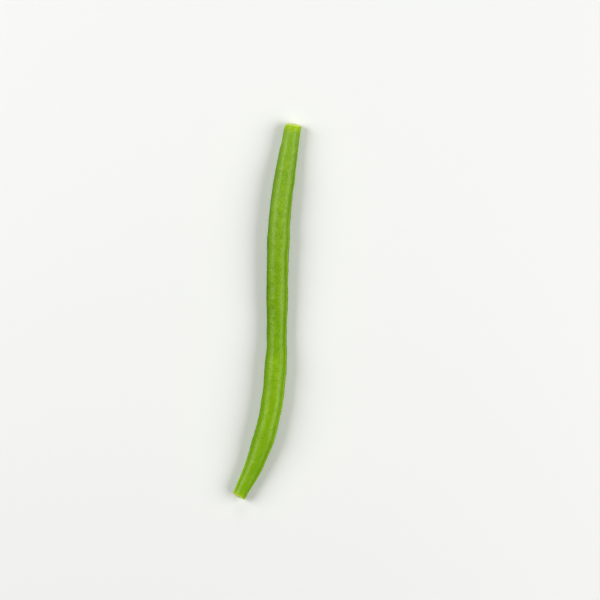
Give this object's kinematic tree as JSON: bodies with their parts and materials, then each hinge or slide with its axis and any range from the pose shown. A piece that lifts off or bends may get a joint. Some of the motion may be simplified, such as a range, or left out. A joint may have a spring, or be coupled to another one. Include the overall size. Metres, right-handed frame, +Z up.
{
  "type": "green bean",
  "caption": "Slim green bean pod trimmed at both ends, gently S-curved, with seed swellings and raised seams, lying on its side.",
  "frame": {"origin": "under the middle of the pod's bounding box, on the surface that it lies on", "axes": "+Y along the pod to its stem end, +X across it, +Z up; the pod's curve lies flat in the XY plane"},
  "size_m": [0.0224, 0.1246, 0.0073],
  "materials": {
    "bean_skin": "satin"
  },
  "bodies": {
    "root": {"pod": "bean_skin"}
  },
  "joints": []
}
